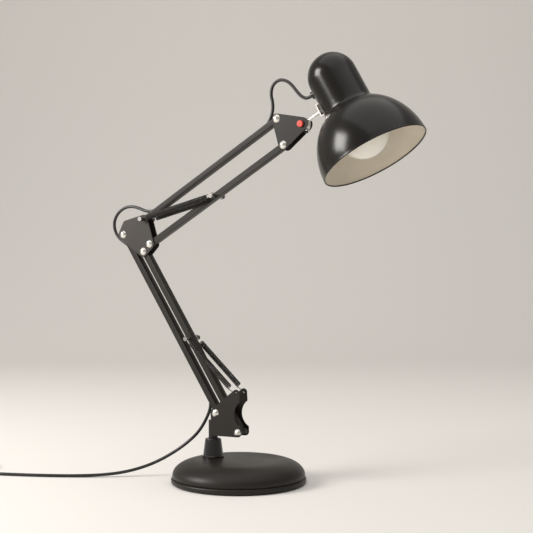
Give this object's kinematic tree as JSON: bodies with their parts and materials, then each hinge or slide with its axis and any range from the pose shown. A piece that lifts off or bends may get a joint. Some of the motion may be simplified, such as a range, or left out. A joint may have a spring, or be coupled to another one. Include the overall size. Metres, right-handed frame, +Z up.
{
  "type": "desk lamp",
  "caption": "Desk lamp with a round weighted base, spring-held double arms with linked bars, and a bell shade on a tilting and turning joint.",
  "frame": {"origin": "centre of the round base's underside, on the table", "axes": "+Z up, +X from the base towards the shade in the plane of the arm, +Y square to that plane"},
  "size_m": [0.681, 0.2126, 0.4971],
  "materials": {
    "coat_dark": "satin",
    "coat_plate": "satin",
    "shade_coat": "satin",
    "base_iron": "matte",
    "pad_foam": "matte",
    "steel": "satin",
    "nickel": "polished",
    "spring_black": "satin",
    "black_plastic": "gloss",
    "nylon": "matte",
    "red_plastic": "gloss",
    "cord_black": "satin",
    "holder_black": "matte",
    "bulb_white": "satin",
    "bulb_brass": "satin"
  },
  "bodies": {
    "base": {"base_shell": "coat_dark", "base_rim_plate": "coat_dark", "base_weight": "base_iron", "base_pad": "pad_foam", "base_screws": "steel", "stem_tube": "steel", "stem_nut": "steel", "collar": "black_plastic", "swivel_bush": "nylon", "mains_lead": "cord_black", "mains_lead_coil": "cord_black", "mains_lead_tail": "cord_black", "mains_plug": "black_plastic", "plug_pins": "nickel", "plug_relief": "cord_black"},
    "swivel_bracket": {"swivel_post": "coat_dark", "bracket_front_plate": "coat_dark", "bracket_back_plate": "coat_dark", "bracket_rivets": "nickel", "post_pin": "coat_dark", "bracket_spacers": "nylon", "lower_spring_front": "spring_black", "lower_spring_back": "spring_black"},
    "lower_rear_arm": {"lower_rear_bar": "coat_dark", "lower_bar_cord": "cord_black"},
    "lower_front_arm": {"lower_front_bar": "coat_dark", "lower_spring_pin": "steel"},
    "elbow": {"elbow_front_plate": "coat_plate", "elbow_back_plate": "coat_plate", "elbow_rivets": "nickel", "elbow_top_pin": "steel", "elbow_washers": "nylon", "upper_spring_front": "spring_black", "upper_spring_back": "spring_black", "elbow_cord_loop": "cord_black"},
    "upper_top_arm": {"upper_top_bar": "coat_dark", "upper_bar_cord": "cord_black"},
    "upper_bottom_arm": {"upper_bottom_bar": "coat_dark", "upper_spring_pin": "steel"},
    "head": {"head_front_plate": "coat_dark", "head_back_plate": "coat_dark", "head_rivets": "nickel", "head_washers": "nylon", "tilt_bolt": "steel", "tilt_nut": "steel", "tilt_bush": "nylon", "tilt_cap": "red_plastic", "head_cord_loop": "cord_black"},
    "yoke": {"yoke_band": "nickel", "yoke_rod": "nickel", "yoke_stud": "black_plastic", "twist_washer": "nickel"},
    "shade": {"shade_shell": "shade_coat", "shade_bracket": "nickel", "shade_grommet": "black_plastic", "holder_mount_ring": "steel", "lamp_holder": "holder_black", "bulb_glass": "bulb_white", "bulb_cap": "bulb_brass", "bulb_contact": "bulb_brass"}
  },
  "joints": [
    {"name": "base_swivel", "type": "hinge", "parent": "base", "child": "swivel_bracket", "pos_m": [-0.036, 0, 0.0492], "axis": [0, 0, 1], "range_deg": [-120, 120], "deforming": ["mains_lead"]},
    {"name": "lower_arm_tilt", "type": "hinge", "parent": "swivel_bracket", "child": "lower_rear_arm", "pos_m": [-0.0272, 0, 0.081], "axis": [0, 1, 0], "range_deg": [-6, 45], "deforming": ["lower_spring_front", "lower_spring_back", "mains_lead"]},
    {"name": "lower_front_tilt", "type": "hinge", "parent": "swivel_bracket", "child": "lower_front_arm", "pos_m": [0.00371, 0, 0.0596], "axis": [0, 1, 0], "range_deg": [-6, 45]},
    {"name": "elbow_level", "type": "hinge", "parent": "lower_rear_arm", "child": "elbow", "pos_m": [-0.16663, 0, 0.2957], "axis": [0, 1, 0], "range_deg": [-45, 6], "deforming": ["elbow_cord_loop"]},
    {"name": "upper_arm_tilt", "type": "hinge", "parent": "elbow", "child": "upper_top_arm", "pos_m": [-0.13493, 0, 0.3143], "axis": [0, 1, 0], "range_deg": [-45, 60], "deforming": ["upper_spring_front", "upper_spring_back", "elbow_cord_loop"]},
    {"name": "upper_bottom_tilt", "type": "hinge", "parent": "elbow", "child": "upper_bottom_arm", "pos_m": [-0.12635, 0, 0.28358], "axis": [0, 1, 0], "range_deg": [-45, 60]},
    {"name": "head_level", "type": "hinge", "parent": "upper_top_arm", "child": "head", "pos_m": [0.05444, 0, 0.42629], "axis": [0, 1, 0], "range_deg": [-60, 45], "deforming": ["head_cord_loop"]},
    {"name": "shade_tilt", "type": "hinge", "parent": "head", "child": "yoke", "pos_m": [0.08634, 0, 0.41819], "axis": [0, 1, 0], "range_deg": [-60, 45], "deforming": ["head_cord_loop"]},
    {"name": "shade_twist", "type": "hinge", "parent": "yoke", "child": "shade", "pos_m": [0.08634, 0, 0.41819], "axis": [0.8686, 0, 0.4955], "range_deg": [-90, 90], "deforming": ["head_cord_loop"]}
  ],
  "couplings": [
    {"joint": "lower_front_tilt", "follows": "lower_arm_tilt", "ratio": 1},
    {"joint": "elbow_level", "follows": "lower_arm_tilt", "ratio": -1},
    {"joint": "upper_bottom_tilt", "follows": "upper_arm_tilt", "ratio": 1},
    {"joint": "head_level", "follows": "upper_arm_tilt", "ratio": -1}
  ]
}
